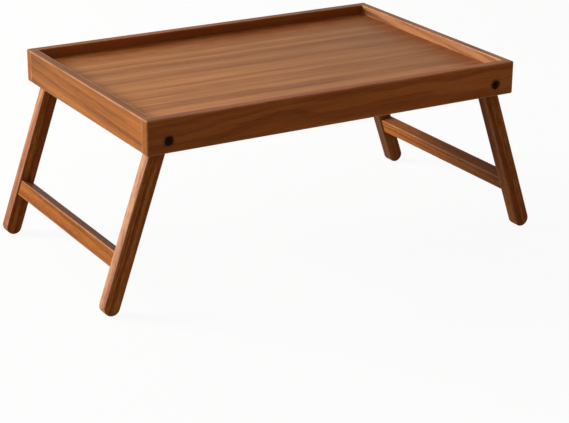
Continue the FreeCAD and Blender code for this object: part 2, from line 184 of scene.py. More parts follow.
def new_group(name, takes, gives):
    """Start a node group: the tree, the sockets it takes and the sockets it gives."""
    group = bpy.data.node_groups.new(name, "ShaderNodeTree")
    sockets = group.interface
    for label, kind, value in takes:
        socket = sockets.new_socket(label, in_out="INPUT", socket_type="NodeSocket" + kind)
        socket.default_value = value
    for label, kind in gives:
        sockets.new_socket(label, in_out="OUTPUT", socket_type="NodeSocket" + kind)
    entry, outlet = group.nodes.new("NodeGroupInput"), group.nodes.new("NodeGroupOutput")
    return group, entry.outputs, outlet.inputs


def use_group(tree, group, **inputs):
    """Place a node group in a material and fill its sockets by name."""
    return add(tree, "Group", {"node_tree": group}, **inputs).outputs


print("helpers:", [helper.__name__ for helper in (blend_colours, ramp, new_group, use_group)])

# %% [markdown]
# ## Grain
# A tree grows in rings round its pith, so a plank is a flat cut through a bundle of
# nested tubes. The texture does the same: it measures how far a point is from the pith,
# and looks that distance up in a one-dimensional noise. The rings come out uneven, as
# in a real tree, and wide arches appear wherever the cut runs nearly level with them.
# Four stretched noises add the rest: broad streaks, hair-fine fibres, flecks where the
# cut crosses the fibres, and short open pores.

# %% Noise that runs along the fibres
# Each pattern: features in each metre along and across the fibres, and layers of detail.
WANDER = (5, 24, 2)
STREAKS = (7, 190, 3)
FIBRES = (18, 600, 3)
FLECKS = (100, 520, 2)
CLOUDS = (6, 16, 2)
DASHES = (160, 2600, 1)
NEARLY_ALL = (0.3, 0.7)           # most of a noise lies between these
MIDDLE_PART = (0.35, 0.65)        # a closer range, which gives harder borders


def stretched_noise(tree, place, along, across, detail, seed=0.0):
    """A noise drawn out along the fibres; the two numbers are features in each metre."""
    scaled = vector_calc(tree, "MULTIPLY", place, (along, across, across))
    noise = add(
        tree, "TexNoise", {"noise_dimensions": "4D"},
        Vector=scaled, W=seed, Scale=1.0, Detail=detail,
    )
    return noise.outputs["Fac"]


# %% Rings round the pith
RING_DETAIL, RING_RANGE = 2.5, (0.28, 0.72)


def tree_rings(tree, take):
    """Rings by the distance from the pith, in a trunk that didn't grow straight."""
    place, seed = take["Vector"], take["Seed"]
    wander = calc(tree, "SUBTRACT", stretched_noise(tree, place, *WANDER, seed), 0.5)
    from_pith = vector_calc(tree, "SUBTRACT", place, take["Pith"])
    across_fibres = vector_calc(tree, "MULTIPLY", from_pith, (0, 1, 1))
    distance = vector_calc(tree, "LENGTH", across_fibres)
    radius = calc(tree, "MULTIPLY_ADD", wander, take["Waviness"], distance)
    count = calc(tree, "ADD", calc(tree, "DIVIDE", radius, take["Ring Width"]), seed)
    noise = add(
        tree, "TexNoise", {"noise_dimensions": "1D"}, W=count, Scale=1.0, Detail=RING_DETAIL)
    return ramp(tree, noise.outputs["Fac"], *RING_RANGE)


print("rings use the part of the noise between", *RING_RANGE)

# %% The grain group
FLECK_RANGE = (-0.5, 0.5)         # flecks are darker or lighter, so they go both ways
TO_MIDDLE, TO_LIGHT = (0.0, 0.55), (0.45, 1.0)      # where the figure changes colour
CLOUD_DEPTH, CLOUD_SEED = (0.92, 1.08), 7.0
PORE_RANGE, PORES_BY_RINGS, PORE_SHARE = (0.6, 0.68), -0.06, 0.45
FIBRE_HEIGHT, PORE_HEIGHT = 0.35, -0.8


def build_grain():
    """The shared wood: rings, streaks, fibres, flecks and pores."""
    takes = [
        ("Vector", "Vector", (0, 0, 0)),
        ("Pith", "Vector", (0, 0.05, 0.09)),
        ("Seed", "Float", 0.0),
        ("Ring Width", "Float", 0.006),
        ("Waviness", "Float", 0.012),
        ("Rings", "Float", 0.5),
        ("Streaks", "Float", 0.35),
        ("Fibres", "Float", 0.15),
        ("Flecks", "Float", 0.0),
        ("Drift", "Vector", (0, 0, 0)),
        ("Light Wood", "Color", (0.5, 0.2, 0.06, 1)),
        ("Middle Wood", "Color", (0.33, 0.12, 0.03, 1)),
        ("Dark Wood", "Color", (0.17, 0.055, 0.015, 1)),
    ]
    gives = [("Color", "Color"), ("Figure", "Float"), ("Pores", "Float"), ("Height", "Float")]
    tree, take, give = new_group("Grown wood", takes, gives)
    place, seed = take["Vector"], take["Seed"]

    # The figure adds up four patterns, each pushed apart to fill its whole range.
    rings = tree_rings(tree, take)
    streaks = ramp(tree, stretched_noise(tree, place, *STREAKS, seed), *NEARLY_ALL)
    fibres = ramp(tree, stretched_noise(tree, place, *FIBRES, seed), *NEARLY_ALL)
    flecks = stretched_noise(tree, place, *FLECKS, seed)
    flecks = ramp(tree, flecks, *MIDDLE_PART, *FLECK_RANGE)
    figure = calc(tree, "MULTIPLY", rings, take["Rings"])
    for pattern, share in ((streaks, "Streaks"), (fibres, "Fibres"), (flecks, "Flecks")):
        figure = calc(tree, "MULTIPLY_ADD", pattern, take[share], figure)
    to_middle, to_light = ramp(tree, figure, *TO_MIDDLE), ramp(tree, figure, *TO_LIGHT)
    colour = blend_colours(tree, to_middle, take["Dark Wood"], take["Middle Wood"])
    colour = blend_colours(tree, to_light, colour, take["Light Wood"])

    # Slow changes of depth: cloudy patches, and a drift from one end to the other.
    clouds = stretched_noise(tree, place, *CLOUDS, calc(tree, "ADD", seed, CLOUD_SEED))
    patches = ramp(tree, clouds, *NEARLY_ALL, *CLOUD_DEPTH)
    drift = vector_calc(tree, "DOT_PRODUCT", place, take["Drift"])
    colour = blend_colours(tree, 1.0, colour, calc(tree, "ADD", patches, drift), "MULTIPLY")

    # Open pores: short dark dashes, more of them in the dark parts of the rings.
    dashes = stretched_noise(tree, place, *DASHES, seed)
    dashes = calc(tree, "MULTIPLY_ADD", rings, PORES_BY_RINGS, dashes)
    pores = ramp(tree, dashes, *PORE_RANGE)
    pore_share = calc(tree, "MULTIPLY", pores, PORE_SHARE)
    colour = blend_colours(tree, pore_share, colour, take["Dark Wood"])
    height = calc(tree, "MULTIPLY", fibres, FIBRE_HEIGHT)
    height = calc(tree, "MULTIPLY_ADD", pores, PORE_HEIGHT, height)
    for (name, _), value in zip(gives, (colour, figure, pores, height)):
        tree.links.new(value, give[name])
    return tree


grain = build_grain()
print("grain group:", len(grain.nodes), "nodes")

# %% [markdown]
# ## Edges and faces, with painted light and shade
# Hands polish an eased edge first: it turns smoother, and it is painted lighter in uneven
# patches, partly as rubbing and partly as painted highlight along the edge. All pieces are
# bars, so no baked map is needed. On the surface of a bar one of the three distances to its
# faces is nought, and the middle one of the three is the distance to the nearest edge. A longer
# reach makes the same mask a border, as the board has, where it is painted shadow along the
# rails. A second group tells which way the surface faces, for end grain, for tops painted with
# shade and sheen, and for sides painted paler or darker with light and shade.

# %% Groups for edges and faces
EDGE_MARKS, EDGE_MARK_SHARE = (30, 90, 3), (0.4, 1.0)      # the edge mask comes and goes in marks
FACE_RANGE = (0.6, 0.92)          # cosines: a face counts fully within 23 degrees
END_RANGE = (0.55, 0.9)


def build_edges():
    """A mask that is 1 on a bar's long edges and breaks up away from them."""
    takes = [
        ("Vector", "Vector", (0, 0, 0)),
        ("Half Size", "Vector", (0.1, 0.1, 0.1)),
        ("Reach", "Float", 0.0026),
        ("Seed", "Float", 0.0),
    ]
    tree, take, give = new_group("Near edges", takes, [("Near Edge", "Float")])
    outwards = vector_calc(tree, "ABSOLUTE", take["Vector"])
    inside = vector_calc(tree, "SUBTRACT", take["Half Size"], outwards)
    x, y, z = add(tree, "SeparateXYZ", Vector=inside).outputs
    lesser, greater = calc(tree, "MINIMUM", x, y), calc(tree, "MAXIMUM", x, y)
    to_edge = calc(tree, "MAXIMUM", lesser, calc(tree, "MINIMUM", greater, z))
    near = ramp(tree, to_edge, take["Reach"], 0.0)
    marks = stretched_noise(tree, take["Vector"], *EDGE_MARKS, take["Seed"])
    patchy = ramp(tree, marks, *MIDDLE_PART, *EDGE_MARK_SHARE)
    tree.links.new(calc(tree, "MULTIPLY", near, patchy), give["Near Edge"])
    return tree


def build_facing():
    """Masks that are 1 where the surface faces one way, or that way and its opposite."""
    takes = [("Normal", "Vector", (0, 0, 1)), ("Direction", "Vector", (1, 0, 0))]
    gives = [("One Way", "Float"), ("Either Way", "Float")]
    tree, take, give = new_group("Facing", takes, gives)
    along = vector_calc(tree, "DOT_PRODUCT", take["Normal"], take["Direction"])
    either = calc(tree, "ABSOLUTE", along)
    tree.links.new(ramp(tree, along, *FACE_RANGE), give["One Way"])
    tree.links.new(ramp(tree, either, *END_RANGE), give["Either Way"])
    return tree


edges, facing_group = build_edges(), build_facing()
print("nodes for edges and for facing:", len(edges.nodes), len(facing_group.nodes))

# %% [markdown]
# ## Scuffs and stains
# The feet scrape over floors and sheets, so their last few millimetres are scuffed. Oil
# and dust gather under the bolts' heads and leave a dark ring on the wood. Both are
# masks by distance, broken up with noise, so that no hand-painted map is needed. The
# tray is the same on the left and the right, so one group stains both holes of a rail.

# %% Group for scuffs
SCRAPES, SCRAPE_RANGE, SCRAPE_REACH = (420, 420, 4), (0.42, 0.68), (1.0, 0.1)


def build_scuffs():
    """A mask of scrapes on the last few millimetres before a foot's tip."""
    takes = [
        ("Vector", "Vector", (0, 0, 0)),
        ("Tip", "Float", 0.1),
        ("Reach", "Float", 0.02),
        ("Seed", "Float", 0.0),
    ]
    tree, take, give = new_group("Foot scuffs", takes, [("Scuff", "Float")])
    x = add(tree, "SeparateXYZ", Vector=take["Vector"]).outputs[0]
    to_tip = calc(tree, "DIVIDE", calc(tree, "SUBTRACT", take["Tip"], x), take["Reach"])
    near = ramp(tree, to_tip, *SCRAPE_REACH)
    scrapes = stretched_noise(tree, take["Vector"], *SCRAPES, take["Seed"])
    scraped = ramp(tree, scrapes, *SCRAPE_RANGE)
    tree.links.new(calc(tree, "MULTIPLY", near, scraped), give["Scuff"])
    return tree


scuffs = build_scuffs()
print("nodes for scuffs:", len(scuffs.nodes))

# %% Group for stains
BLOTCHES, BLOTCH_SIZE = (160, 160, 2), 0.004        # metres that a stain's rim wanders
STAIN_REACH = (1.0, 0.5)


def build_bolt_stain():
    """A mask that darkens the wood round a bolt, for the same hole on the left and right."""
    takes = [
        ("Vector", "Vector", (0, 0, 0)),
        ("Across", "Float", 0.2),
        ("Up", "Float", 0.2),
        ("Radius", "Float", 0.009),
    ]
    tree, take, give = new_group("Bolt stain", takes, [("Stain", "Float")])
    x, _, z = add(tree, "SeparateXYZ", Vector=take["Vector"]).outputs
    sideways = calc(tree, "SUBTRACT", calc(tree, "ABSOLUTE", x), take["Across"])
    upwards = calc(tree, "SUBTRACT", z, take["Up"])
    from_bolt = add(tree, "CombineXYZ", X=sideways, Z=upwards).outputs[0]
    blotch = calc(tree, "SUBTRACT", stretched_noise(tree, take["Vector"], *BLOTCHES), 0.5)
    distance = vector_calc(tree, "LENGTH", from_bolt)
    away = calc(tree, "MULTIPLY_ADD", blotch, BLOTCH_SIZE, distance)
    away = calc(tree, "DIVIDE", away, take["Radius"])
    tree.links.new(ramp(tree, away, *STAIN_REACH), give["Stain"])
    return tree


bolt_stain = build_bolt_stain()
print("nodes for stains:", len(bolt_stain.nodes))

# %% [markdown]
# ## The oiled wood finish
# One function makes the finish of one piece, so that no two pieces repeat each other.
# The wood itself is nearly matt. A thin coat of wax lies over it where hands and laps rub: on
# the edges, and on the side that a look names. That side is painted paler too, partly as
# rubbing and partly as painted highlight, and the side across from it is painted darker, as
# painted shade. The faces that look up are painted darker and greyer, as painted shade and
# sheen.
# End grain shows no figure, so it takes one even tone.

# %% The masks of one piece
PIVOT_X, PIVOT_Z = 0.2233253, 0.2033585     # the bolts' axes, in the table's frame


def facing_mask(tree, normal, direction, way="One Way"):
    """A mask for the faces that look in one direction."""
    return use_group(tree, facing_group, Normal=normal, Direction=direction)[way]


def place_in_piece(tree, source, turn, middle=(0, 0, 0)):
    """Turn the model's coordinates, or its normals, into the frame of one piece."""
    return add(
        tree, "Mapping", {"vector_type": "TEXTURE"},
        Vector=source, Location=middle, Rotation=turn,
    ).outputs[0]


def piece_masks(tree, place, normal, half, look):
    """Masks of one piece: its ends, its top and two sides, which take painted light and shade,
    its edges, which take wear and painted light, and its scuffed tip.
    """
    side, seed = Vector(look["polished_side"]), look["seed"]
    edge_place = vector_calc(tree, "ADD", place, look["edge_shift"])
    near_edges = {"Vector": edge_place, "Half_Size": half, "Reach": look["edge_reach"]}
    scuffed = {"Vector": place, "Tip": half.x, "Reach": look["scuff_reach"]}
    return {
        "ends": facing_mask(tree, normal, (1, 0, 0), "Either Way"),
        "top": facing_mask(tree, normal, (0, 0, 1)),
        "side": facing_mask(tree, normal, side),
        "inner": facing_mask(tree, normal, -side),
        # the edge mask: wear and painted highlight, and the board's painted shadow border
        "edge_wear_and_light": use_group(tree, edges, Seed=seed, **near_edges)["Near Edge"],
        "scuff": use_group(tree, scuffs, Seed=seed, **scuffed)["Scuff"],
    }


# %% Paints for wear, and for painted light and shade
def opaque(red, green, blue):
    """A colour as light reflected from a surface, with the fourth number that a socket has."""
    return (red, green, blue, 1)


END_GRAIN = opaque(0.36, 0.125, 0.026)
# Painted shade and sheen: faces that look up are painted darker and greyer.
TOP_SHADE_GREY = opaque(0.18, 0.088, 0.045)
# Painted shade, for inner sides and stretcher tops that lie in shadow.
SHADE_BROWN = opaque(0.13, 0.052, 0.025)
# Paler wood where hands rub, also used as painted highlight on edges and on a lit side
RUBBED_AND_HIGHLIT = opaque(0.60, 0.295, 0.13)
RAIL_SHADOW = opaque(0.23, 0.048, 0.004)        # painted shadow of the back and right rails on the board
SCUFFED = opaque(0.16, 0.09, 0.05)
OILY = opaque(0.035, 0.016, 0.008)
print("rubbed wood reflects", round(RUBBED_AND_HIGHLIT[0] / END_GRAIN[0], 1), "times the red of an end")

# %% Lay the effects over the wood
END_SHARE, SCUFF_SHARE = 0.6, 0.4           # how far each paint covers the wood
PALING_BY_FIGURE = (0.2, 0.8, 0.1, 1.0)     # pale wood takes the paler side, rubbing and painted highlight, more than dark wood
PORE_MATT, END_MATT, SCUFF_MATT = 0.2, 0.12, 0.2    # what each adds to the roughness


def painted(tree, wood, masks, look):
    """The wood's colour with each effect laid over it in turn."""
    by_figure = ramp(tree, wood["Figure"], *PALING_BY_FIGURE)
    patchy = calc(tree, "MULTIPLY", masks["side"], by_figure)
    colour = wood["Color"]
    for mask, share, paint in (
        (masks["ends"], END_SHARE, END_GRAIN),
        # faces that look up: painted shade and sheen
        (masks["top"], look["top_shade"], look["top_paint"]),
        # the named side painted paler: rubbing, and painted highlight
        (patchy, look["rub_and_highlight_side"], RUBBED_AND_HIGHLIT),
        # the side across from the named one: painted shade
        (masks["inner"], look["inner_shade"], SHADE_BROWN),
        # edges: wear and painted highlight; on the board, a border of painted shadow
        (masks["edge_wear_and_light"], look["edge_share"], look["edge_paint"]),
        (masks["scuff"], SCUFF_SHARE, SCUFFED),
        (masks["stain"], look["stained"], OILY),
    ):
        if share:
            colour = blend_colours(tree, calc(tree, "MULTIPLY", mask, share), colour, paint)
    return colour


def finished(tree, wood, masks, look):
    """The wood's roughness and the weight of its coat of wax."""
    matt = calc(tree, "MULTIPLY_ADD", wood["Pores"], PORE_MATT, look["roughness"])
    matt = calc(tree, "MULTIPLY_ADD", masks["ends"], END_MATT, matt)
    matt = calc(tree, "MULTIPLY_ADD", masks["scuff"], SCUFF_MATT, matt)
    wax = calc(tree, "MULTIPLY", masks["edge_wear_and_light"], look["edge_wax"])
    wax = calc(tree, "MULTIPLY_ADD", masks["side"], look["polish"], wax)
    return matt, wax


print("pores add to the roughness:", PORE_MATT, "and end grain:", END_MATT)

# %% Wood material
WAX_ROUGHNESS, RELIEF = 0.45, 0.00005       # relief in metres


def put_on(name, material):
    """Make this the only material of a part."""
    parts[name].data.materials.clear()
    parts[name].data.materials.append(material)


def wood_finish(name, turn, look):
    """Give one part a wood of its own."""
    material = bpy.data.materials.new(name + "_wood")
    material.use_nodes = True
    tree = material.node_tree
    shader = tree.nodes["Principled BSDF"]
    middle, half = measure(name, turn)
    source = add(tree, "TexCoord").outputs
    place = place_in_piece(tree, source["Object"], turn, middle)
    normal = place_in_piece(tree, source["Normal"], turn)
    masks = piece_masks(tree, place, normal, half, look)
    masks["stain"] = use_group(
        tree, bolt_stain, Vector=source["Object"], Across=PIVOT_X, Up=PIVOT_Z)["Stain"]

    # The fibres run a little askew in the piece, as the saw never meets them exactly.
    askew = [math.radians(angle) for angle in look["askew"]]
    fibre_place = add(tree, "Mapping", {"vector_type": "POINT"}, Vector=place, Rotation=askew)
    wood = use_group(
        tree, grain, Vector=fibre_place.outputs[0], Pith=look["pith"], Seed=look["seed"],
        Ring_Width=look["ring_width"], Waviness=look["waviness"], Rings=look["rings"],
        Streaks=look["streaks"], Fibres=look["fibres"], Flecks=look["flecks"],
        Drift=look["drift"], Light_Wood=look["light"], Middle_Wood=look["middle"],
        Dark_Wood=look["dark"],
    )
    matt, wax = finished(tree, wood, masks, look)
    bump = add(tree, "Bump", Height=wood["Height"], Strength=look["relief"], Distance=RELIEF)
    feed(tree, shader.inputs["Base Color"], painted(tree, wood, masks, look))
    feed(tree, shader.inputs["Roughness"], matt)
    feed(tree, shader.inputs["Coat Weight"], wax)
    feed(tree, shader.inputs["Normal"], bump.outputs["Normal"])
    feed(tree, shader.inputs["Specular IOR Level"], look["gloss"])
    feed(tree, shader.inputs["Coat Roughness"], WAX_ROUGHNESS)
    put_on(name, material)


grain_inputs = [item for item in grain.interface.items_tree if item.in_out == "INPUT"]
print("values that the grain takes:", len(grain_inputs))

# %% [markdown]
# ## Which wood each piece gets
# Each piece starts from one description and changes only what sets it apart. A look
# says where the pith lay, how wide and wavy the rings are, how many degrees the fibres
# run askew, the share of each pattern, how the depth of colour drifts in a metre, and
# how far each effect goes.
#
# The board is a sliced sheet with long soft streaks, a little darker towards the right. Along
# the back and right rails it is painted darker, as painted shadow that those rails cast on it,
# and its drift darkens it towards the back as painted shade too. The mask for edges gives that
# border: its reach is long, and a shift moves it towards those two rails. The long rails are a
# red, quiet wood, but the front one has a wavy figure. The short rails are a brighter wood
# whose broad bands cross them at a slant; the right one's inner side is painted paler, partly
# as rubbing and partly as painted highlight.

# %% Looks of the tray
def tones(light, middle, dark):
    """The three colours of a wood."""
    return {"light": opaque(*light), "middle": opaque(*middle), "dark": opaque(*dark)}


PLAIN = {
    "pith": (0, 0.03, 0.16), "ring_width": 0.007, "waviness": 0.012, "askew": (0, 1, 1),
    "seed": 0.0, "rings": 0.46, "streaks": 0.32, "fibres": 0.22, "flecks": 0.15,
    "drift": (0, 0, 0), "roughness": 0.45, "gloss": 0.06, "relief": 0.2,
    "scuff_reach": 0.0001,        # next to nothing; nought can't be divided by
    "stained": 0.0, "top_shade": 0.0, "top_paint": TOP_SHADE_GREY,
    "polished_side": (0, 0, 1), "polish": 0.0, "rub_and_highlight_side": 0.0, "inner_shade": 0.0,
    "edge_shift": (0, 0, 0), "edge_reach": 0.0026, "edge_paint": RUBBED_AND_HIGHLIT,
    "edge_share": 0.35, "edge_wax": 0.5,
    **tones((0.46, 0.155, 0.032), (0.33, 0.096, 0.018), (0.20, 0.052, 0.010)),
}
# The board's drift darkens it towards the right, and towards the back as painted shade; its
# border by the back and right rails is painted shadow.
BOARD = {
    "pith": (0, 0.6, 0.10), "ring_width": 0.021, "waviness": 0.016, "askew": (0, 0.3, 0.6),
    "gloss": 0.05, "rings": 0.50, "streaks": 0.28, "fibres": 0.22, "flecks": 0.08,
    "drift": (-0.85, -0.6, 0), "edge_shift": (0.010, 0.018, 0), "edge_reach": 0.052,
    "edge_paint": RAIL_SHADOW, "edge_share": 0.85, "edge_wax": 0.0,
    **tones((0.475, 0.207, 0.071), (0.38, 0.148, 0.046), (0.25, 0.086, 0.027)),
}
LONG_RAIL = {
    "pith": (0, 0.12, 0.20), "ring_width": 0.010, "waviness": 0.03, "askew": (0, 1.5, 2),
    "top_shade": 0.15, "stained": 0.8, "drift": (0.45, 0, 0), "polished_side": (0, 1, 0),
    "polish": 0.3, "rub_and_highlight_side": 0.45,
    **tones((0.43, 0.122, 0.024), (0.35, 0.091, 0.017), (0.245, 0.060, 0.011)),
}
WAVY = {"ring_width": 0.009, "waviness": 0.055, "rings": 0.58}
DARKER = {
    "drift": (-0.45, 0, 0),
    **tones((0.37, 0.102, 0.020), (0.30, 0.076, 0.014), (0.21, 0.050, 0.009)),
}
SHORT_RAIL = {
    "pith": (0, 0.02, 0.30), "ring_width": 0.012, "waviness": 0.014, "askew": (0, 2.5, 2),
    "gloss": 0.045, "rings": 0.54, "streaks": 0.26, "fibres": 0.20, "flecks": 0.10,
    "top_shade": 0.45, "edge_share": 0.5, "drift": (-1.2, 0, 0), "polished_side": (0, 1, 0),
    **tones((0.46, 0.164, 0.030), (0.335, 0.108, 0.018), (0.18, 0.052, 0.009)),
}
# The right rail's inner side is painted paler: rubbing, and painted highlight.
HANDLED_AND_HIGHLIT = {"ring_width": 0.010, "askew": (0, 4.5, 2), "polish": 1.0, "rub_and_highlight_side": 0.45}
wood_of = {
    "tray_board": (ALONG_X, BOARD),
    "front_rail": (ALONG_X, {**LONG_RAIL, **WAVY, "seed": 16.3}),
    "back_rail": (ALONG_X, {**LONG_RAIL, **DARKER, "seed": 5.2}),
    "left_rail": (ALONG_Y, {**SHORT_RAIL, "seed": 63.2, "polish": 0.08}),
    "right_rail": (ALONG_Y, {**SHORT_RAIL, **HANDLED_AND_HIGHLIT, "seed": 9.4}),
}
print("woods of the tray:", len(wood_of), "with", len(PLAIN), "values each")

# %% [markdown]
# The legs and stretchers are straight sticks with plenty of flecks. The front left leg's outer
# side is painted palest, partly as rubbing by hands and partly as painted highlight. One leg at
# the right is painted in darker tones, as painted shade under the tray, and the right stretcher
# is paler and is painted darker from its back end forward, as painted shade of the tray.

# %% Looks of the legs and stretchers
# A stretcher's top is painted darker, as painted shade.
STRETCHER = {
    "flecks": 0.22, "polished_side": (0, 1, 0), "top_shade": 0.65, "top_paint": SHADE_BROWN,
    "edge_share": 0.5, "gloss": 0.03, "relief": 0.05,
    **tones((0.42, 0.145, 0.031), (0.33, 0.102, 0.019), (0.20, 0.054, 0.011)),
}
# A leg's inner side is painted darker as painted shade; its outer side is painted paler, partly
# as painted highlight.
LEG = {
    "flecks": 0.28, "polish": 0.45, "rub_and_highlight_side": 0.3, "scuff_reach": 0.012, "gloss": 0.02,
    "rings": 0.52, "streaks": 0.26, "inner_shade": 0.45,
    **tones((0.55, 0.190, 0.042), (0.33, 0.089, 0.018), (0.20, 0.046, 0.010)),
}
PALER = tones((0.48, 0.165, 0.036), (0.375, 0.116, 0.022), (0.225, 0.061, 0.012))
# A darker copy of the leg's wood: painted shade for the back right leg under the tray.
SHADED_LEG = tones((0.39, 0.130, 0.029), (0.30, 0.092, 0.020), (0.19, 0.053, 0.013))
SET_APART = {
    "front_left_leg": {"rub_and_highlight_side": 1.0, "polish": 0.6},
    "front_right_leg": {"inner_shade": 0.2},
    "back_right_leg": {**SHADED_LEG, "inner_shade": 0.8},
    # the right stretcher's drift paints it darker towards the front, as painted shade of the
    # tray
    "right_stretcher": {**PALER, "drift": (1.5, 0, 0), "top_shade": 0.45},
}
for side, side_name in ((LEFT, "left"), (RIGHT, "right")):
    wood_of[side_name + "_stretcher"] = (along_bar(side), {**STRETCHER, "seed": 12.5 + side})
    for end, end_name in ((0, "front"), (1, "back")):
        own = {"seed": 20.0 + 4.3 * side + 2.7 * end, "polished_side": (0, 0, side)}
        wood_of[end_name + "_" + side_name + "_leg"] = (along_leg(side), {**LEG, **own})
for name, (turn, look) in wood_of.items():
    wood_finish(name, turn, {**PLAIN, **look, **SET_APART.get(name, {})})
print("pieces of wood:", len(wood_of))

# %% [markdown]
# ## Bolts, nuts, collars and dowels
# The bolts are blackened steel: nearly black, with a brown cast where the finish thins.
# The nuts are plated and silvery, the collars are black plastic, and the dowels in the
# corners are pale plain wood. None of them is one flat colour when seen close, so one
# function lets two near colours and the roughness drift together.

# %% Finishes of the small parts
FINE, COARSE = 900.0, 400.0       # features in each metre
SPECKLE_DETAIL, SPECKLE_MATT, SPECKLE_RELIEF = 4, 0.15, 0.2


def speckled_finish(name, first, second, roughness, metallic=0.0, gloss=0.5, features=FINE):
    """A finish that drifts between two colours, with a roughness that drifts too."""
    material = bpy.data.materials.new(name)
    material.use_nodes = True
    tree = material.node_tree
    shader = tree.nodes["Principled BSDF"]
    place = add(tree, "TexCoord").outputs["Object"]
    drift = stretched_noise(tree, place, features, features, SPECKLE_DETAIL)
    drift = ramp(tree, drift, *MIDDLE_PART)
    colour = blend_colours(tree, drift, opaque(*first), opaque(*second))
    matt = calc(tree, "MULTIPLY_ADD", drift, SPECKLE_MATT, roughness)
    bump = add(tree, "Bump", Height=drift, Strength=SPECKLE_RELIEF, Distance=RELIEF)
    feed(tree, shader.inputs["Base Color"], colour)
    feed(tree, shader.inputs["Roughness"], matt)
    feed(tree, shader.inputs["Normal"], bump.outputs["Normal"])
    feed(tree, shader.inputs["Metallic"], metallic)
    feed(tree, shader.inputs["Specular IOR Level"], gloss)
    return material


small_finish = {
    "bolt": speckled_finish(
        "blackened_steel", (0.024, 0.008, 0.003), (0.050, 0.018, 0.007), 0.6, gloss=0.03),
    "nut": speckled_finish(
        "plated_steel", (0.50, 0.50, 0.49), (0.62, 0.62, 0.60), 0.28, metallic=1.0),
    "spacer": speckled_finish(
        "black_plastic", (0.02, 0.019, 0.018), (0.035, 0.033, 0.03), 0.5),
    "dowels": speckled_finish(
        "pale_wood", (0.55, 0.38, 0.2), (0.66, 0.48, 0.28), 0.6, features=COARSE),
}
lock_ring = speckled_finish("lock_ring_nylon", (0.60, 0.62, 0.62), (0.72, 0.73, 0.72), 0.45)
kind_of = {name: name.rsplit("_", 1)[-1] for name in parts}
small_parts = [name for name in parts if kind_of[name] in small_finish]
for name in small_parts:
    put_on(name, small_finish[kind_of[name]])
print("small parts dressed:", len(small_parts))

# %% [markdown]
# ## Real nuts and bolts
# The modelled bolt and nut are plain: a smooth shank and a sharp hexagon. These pieces
# take their places. Both are one outline swept round the bolt's axis, row by row. A row
# is a depth and a reach, and the reach may change with the angle: a hexagon's does, and
# on the thread it climbs once round for each pitch. A screw modifier could turn a round
# outline, but not a hexagon, so the sweep is done by hand.

# %% Outlines that are swept
# Lengths are in metres, and a depth starts at the long rail's outer face.
RAIL_FACE = 0.170
SHANK_RADIUS, SHANK_END = 0.0025, 0.0382
THREAD_START, THREAD_PITCH, THREAD_DEPTH = 0.0305, 0.0008, 0.0004
SIXTH = math.pi / 3               # from one flat of a hexagon to the next


def round_reach(radius):
    """The same reach at every angle."""
    return lambda angle: radius


def hexagon_reach(across, longest=1.0):
    """A hexagon's reach, cut off where it would be longer than the limit."""
    def reach(angle):
        off_flat = (angle + SIXTH / 2) % SIXTH - SIXTH / 2
        return min(across / 2 / math.cos(off_flat), longest)
    return reach


def thread_reach(depth, fade):
    """The thread at one depth: a ridge that climbs; fade sinks it at the shank's end."""
    def reach(angle):
        turn = (depth / THREAD_PITCH - angle / math.tau) % 1.0
        return SHANK_RADIUS - THREAD_DEPTH * abs(2 * turn - 1) - fade
    return reach


print("turns of thread:", round((SHANK_END - THREAD_START) / THREAD_PITCH, 1))

# %% Sweep an outline
STEPS_ROUND = 48
SAME_POINT = 1e-7                 # corners on the axis lie nearer than this and are one
SHARP = math.radians(35)


def sweep(name, rows, side, end):
    """A closed mesh from rows of (depth, reach, finish); nought reach is the axis."""
    mesh, shape = bpy.data.meshes.new(name), bmesh.new()
    rings = []
    for depth, reach, _ in rows:
        ring = []
        for step in range(STEPS_ROUND):
            angle = math.tau * step / STEPS_ROUND
            out = reach(angle)
            x, z = side * PIVOT_X + out * math.cos(angle), PIVOT_Z + out * math.sin(angle)
            ring.append(shape.verts.new((x, end * (RAIL_FACE - depth), z)))
        rings.append(ring)
    for first, second, (_, _, finish) in zip(rings, rings[1:], rows[1:]):
        for step in range(STEPS_ROUND):
            after = (step + 1) % STEPS_ROUND
            face = shape.faces.new((first[step], first[after], second[after], second[step]))
            face.material_index, face.smooth = finish, True
    bmesh.ops.remove_doubles(shape, verts=shape.verts, dist=SAME_POINT)
    bmesh.ops.recalc_face_normals(shape, faces=shape.faces)
    shape.to_mesh(mesh)
    shape.free()
    mesh.set_sharp_from_angle(angle=SHARP)
    return mesh


print("degrees in a step round:", 360 / STEPS_ROUND)

# %% Stand in for a modelled bolt or nut
replaced = []


def turned_piece(name, node, rows, finishes):
    """Make a swept piece that takes the place of a modelled bolt or nut."""
    side = RIGHT if "right" in node else LEFT
    end = 1 if "back" in node else -1
    mesh = sweep(name, rows, side, end)
    for finish in finishes:
        mesh.materials.append(finish)
    piece = bpy.data.objects.new(name, mesh)
    bpy.context.scene.collection.objects.link(piece)
    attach(piece, body_of(parts[node])[0])
    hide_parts(node)
    replaced.append(node)


print("replaced so far:", len(replaced))

# %% Rows of a bolt
HEAD_TOP, HEAD_FOOT, HEAD_RADIUS, HEAD_EASE = 0.0008, 0.0038, 0.0045, 0.0005
SOCKET_ACROSS, SOCKET_DEPTH, SOCKET_EASE, SOCKET_CONE = 0.003, 0.0018, 0.0002, 0.0004
TIP_EASE, THREAD_ROWS, THREAD_RUNOUT = 0.0005, 56, 0.0006


